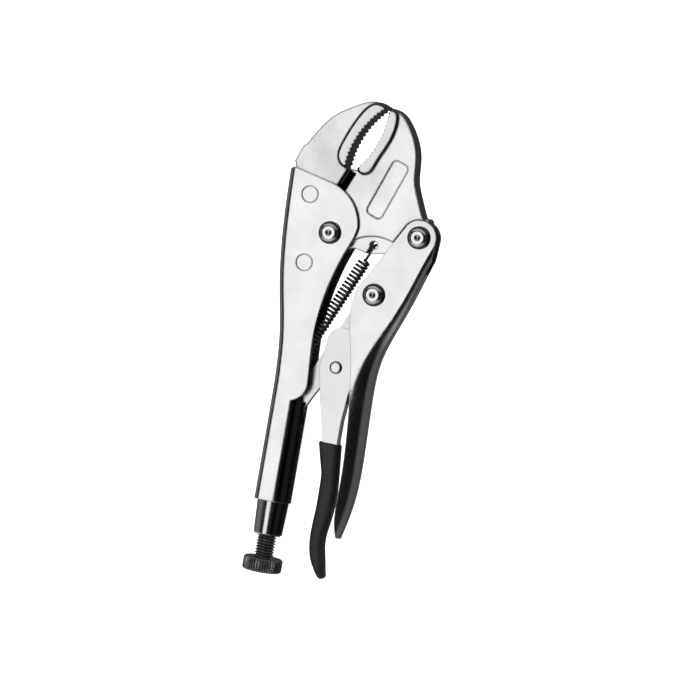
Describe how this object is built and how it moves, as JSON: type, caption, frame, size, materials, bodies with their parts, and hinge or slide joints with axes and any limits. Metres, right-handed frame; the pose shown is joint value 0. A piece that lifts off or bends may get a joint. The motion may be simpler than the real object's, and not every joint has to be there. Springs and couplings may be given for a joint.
{
  "type": "locking pliers",
  "caption": "Locking pliers with curved toothed jaws, pressed channel handles, a toggle link, a release lever and an adjusting screw, closed and lying flat.",
  "frame": {"origin": "on the main pivot's axis, at the flat crown of its lower head, which the tool rests on", "axes": "+X from the fixed handle to the lower handle, +Y along the adjusting screw towards the jaws, +Z along the pivots"},
  "size_m": [0.0815, 0.2476, 0.0238],
  "materials": {
    "plated_steel": "bright nickel plate with fine polishing marks",
    "forged_jaw": "forged and nickel plated, matte on the gripping pads",
    "rivet_steel": "turned and plated",
    "dark_steel": "blackened",
    "vinyl": "dipped soft vinyl"
  },
  "bodies": {
    "fixed_side": {"fixed_handle": "plated_steel", "fixed_jaw": "forged_jaw", "front_jaw_rivet": "plated_steel", "rear_jaw_rivet": "plated_steel", "main_pivot_rivet": "rivet_steel", "threaded_bush": "plated_steel", "opening_spring": "dark_steel"},
    "jaw": {"moving_jaw": "forged_jaw"},
    "lower_side": {"lower_handle": "plated_steel", "handle_pivot_rivet": "rivet_steel", "link_pivot_rivet": "rivet_steel"},
    "link": {"toggle_link": "plated_steel"},
    "lever": {"release_lever": "plated_steel", "lever_sleeve": "vinyl", "release_lever_rivet": "rivet_steel"},
    "stop_ring": {"screw_stop_ring": "dark_steel"},
    "screw": {"adjusting_screw": "dark_steel", "adjusting_knob": "dark_steel"}
  },
  "joints": [
    {"name": "jaw_pivot", "type": "hinge", "parent": "fixed_side", "child": "jaw", "pos_m": [0, 0, 0.0119], "axis": [0, 0, -1], "range_deg": [0, 18], "deforming": ["opening_spring"]},
    {"name": "handle_pivot", "type": "hinge", "parent": "jaw", "child": "lower_side", "pos_m": [0.0458, 0.0054, 0.0119], "axis": [0, 0, 1], "range_deg": [0, 57.4]},
    {"name": "link_pivot", "type": "hinge", "parent": "lower_side", "child": "link", "pos_m": [0.0278, -0.0273, 0.0119], "axis": [0, 0, -1], "range_deg": [0, 61.4]},
    {"name": "lever_swing", "type": "hinge", "parent": "link", "child": "lever", "pos_m": [0.014, -0.0675, 0.0119], "axis": [0, 0, 1], "range_deg": [0, 22]},
    {"name": "screw_turn", "type": "hinge", "parent": "stop_ring", "child": "screw", "pos_m": [-0.0076, -0.17, 0.0119], "axis": [0, -1, 0], "continuous": true},
    {"name": "screw_travel", "type": "slide", "parent": "fixed_side", "child": "stop_ring", "axis": [0, -1, 0], "range_m": [0, 0.02]}
  ],
  "couplings": [
    {"joint": "handle_pivot", "follows": "jaw_pivot", "ratio": 3.1848},
    {"joint": "link_pivot", "follows": "jaw_pivot", "ratio": 3.4037},
    {"joint": "lever_swing", "follows": "jaw_pivot", "ratio": 1.22}
  ]
}
